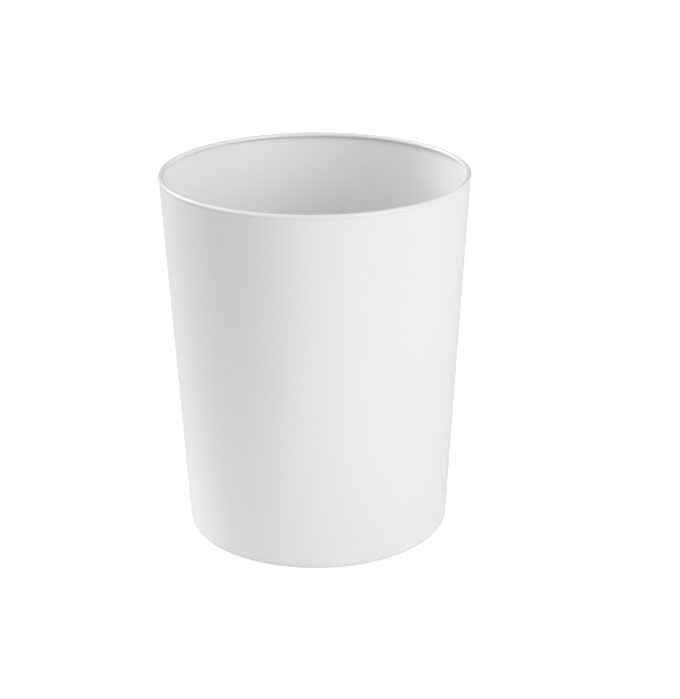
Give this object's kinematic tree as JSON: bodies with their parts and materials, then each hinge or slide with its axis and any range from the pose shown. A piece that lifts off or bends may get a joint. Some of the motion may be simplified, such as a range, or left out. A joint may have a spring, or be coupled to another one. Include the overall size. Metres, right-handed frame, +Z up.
{
  "type": "wastebasket",
  "caption": "Open-top round tapered wastebasket in white painted sheet steel, with a wired rolled rim, a rounded heel, a raised seamed-in base plate and stick-on floor pads.",
  "frame": {"origin": "centre of the basket on the floor, under its axis, level with the undersides of the floor pads", "axes": "+Z up along the basket's axis; -Y towards the front as pictured, +X to the right"},
  "size_m": [0.25, 0.25, 0.3025],
  "materials": {
    "white_paint": "gloss",
    "white_paint_base": "gloss",
    "wire_steel": "drawn",
    "pad_rubber": "matt"
  },
  "bodies": {
    "root": {"body_shell": "white_paint", "rim_wire": "wire_steel", "base_plate": "white_paint_base", "foot_pad_front_right": "pad_rubber", "foot_pad_back_right": "pad_rubber", "foot_pad_back_left": "pad_rubber", "foot_pad_front_left": "pad_rubber"}
  },
  "joints": []
}
